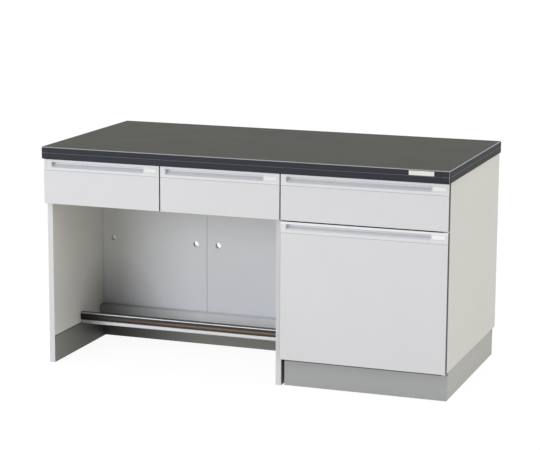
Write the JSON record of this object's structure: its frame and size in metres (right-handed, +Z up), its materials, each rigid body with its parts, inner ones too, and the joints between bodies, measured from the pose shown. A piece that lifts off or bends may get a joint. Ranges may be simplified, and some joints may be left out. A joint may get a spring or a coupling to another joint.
{
  "type": "laboratory side bench",
  "caption": "Laboratory side bench with a dark worktop, a knee space with two drawers, a footrest, and a pedestal with a drawer over a cupboard.",
  "frame": {"origin": "on the floor, under the middle of the worktop", "axes": "+X along the bench to the right as seen from the front, +Y from the front to the back, +Z up"},
  "size_m": [1.5, 0.75, 0.8],
  "materials": {
    "worktop_laminate": "satin dark grey chemical-resistant laminate",
    "edge_strip": "semi-gloss black moulded edge strip",
    "carcass_melamine": "light grey melamine-faced chipboard",
    "edge_band": "light grey edge banding",
    "front_melamine": "pale grey melamine-faced board",
    "grip_plastic": "pale grey moulded grip strip",
    "label_card": "blank white card",
    "drawer_melamine": "white melamine-faced board",
    "slide_steel": "zinc-plated sheet steel",
    "zinc_steel": "zinc-plated steel",
    "bush_nylon": "natural nylon",
    "catch_plastic": "dark brown plastic",
    "plinth_laminate": "mid grey laminate",
    "footrest_aluminium": "satin anodised",
    "tread_vinyl": "brown ribbed vinyl with a wood tone"
  },
  "bodies": {
    "bench": {"carcass_edge_bands": "edge_band", "cupboard_shelf": "carcass_melamine", "door_catch": "catch_plastic", "door_pivot_brackets": "zinc_steel", "drawer_bay_back": "carcass_melamine", "drawer_bay_floor": "carcass_melamine", "drawer_bay_partition": "carcass_melamine", "drawer_left_slide_rails": "slide_steel", "drawer_middle_slide_rails": "slide_steel", "drawer_right_slide_rails": "slide_steel", "footrest_plugs": "bush_nylon", "footrest_rail": "footrest_aluminium", "footrest_tread": "tread_vinyl", "knee_back_base": "plinth_laminate", "knee_back_panel_left": "carcass_melamine", "knee_back_panel_right": "carcass_melamine", "knee_back_rail": "carcass_melamine", "knee_leg_bases": "plinth_laminate", "knee_leg_left": "carcass_melamine", "knee_leg_right": "carcass_melamine", "knee_panel_battens": "carcass_melamine", "knee_top_rails": "carcass_melamine", "pedestal_back": "carcass_melamine", "pedestal_bottom": "carcass_melamine", "pedestal_divider": "carcass_melamine", "pedestal_side_left": "carcass_melamine", "pedestal_side_right": "carcass_melamine", "pedestal_top_rails": "carcass_melamine", "plinth_front": "plinth_laminate", "plinth_rear": "plinth_laminate", "plinth_sides": "plinth_laminate", "rear_stretcher": "carcass_melamine", "shelf_pins": "zinc_steel", "unit_joining_bolts": "zinc_steel", "worktop_board": "worktop_laminate", "worktop_corner_caps": "edge_strip", "worktop_edge_front": "edge_strip", "worktop_edge_rear": "edge_strip", "worktop_edge_sides": "edge_strip"},
    "drawer_left": {"drawer_left_box": "drawer_melamine", "drawer_left_card": "label_card", "drawer_left_front": "front_melamine", "drawer_left_grip": "grip_plastic", "drawer_left_slide_runners": "slide_steel"},
    "drawer_middle": {"drawer_middle_box": "drawer_melamine", "drawer_middle_card": "label_card", "drawer_middle_front": "front_melamine", "drawer_middle_grip": "grip_plastic", "drawer_middle_slide_runners": "slide_steel"},
    "drawer_right": {"drawer_right_box": "drawer_melamine", "drawer_right_card": "label_card", "drawer_right_front": "front_melamine", "drawer_right_grip": "grip_plastic", "drawer_right_slide_runners": "slide_steel"},
    "door": {"door_card": "label_card", "door_grip": "grip_plastic", "door_panel": "front_melamine", "door_pivot_bushes": "bush_nylon", "door_strike": "zinc_steel"}
  },
  "joints": [
    {"name": "drawer_left_slide", "type": "slide", "parent": "bench", "child": "drawer_left", "axis": [0, -1, 0], "range_m": [0, 0.3]},
    {"name": "drawer_middle_slide", "type": "slide", "parent": "bench", "child": "drawer_middle", "axis": [0, -1, 0], "range_m": [0, 0.3]},
    {"name": "drawer_right_slide", "type": "slide", "parent": "bench", "child": "drawer_right", "axis": [0, -1, 0], "range_m": [0, 0.38]},
    {"name": "door_hinge", "type": "hinge", "parent": "bench", "child": "door", "pos_m": [0.738, -0.355, 0.1], "axis": [0, 0, 1], "range_deg": [0, 105]}
  ]
}
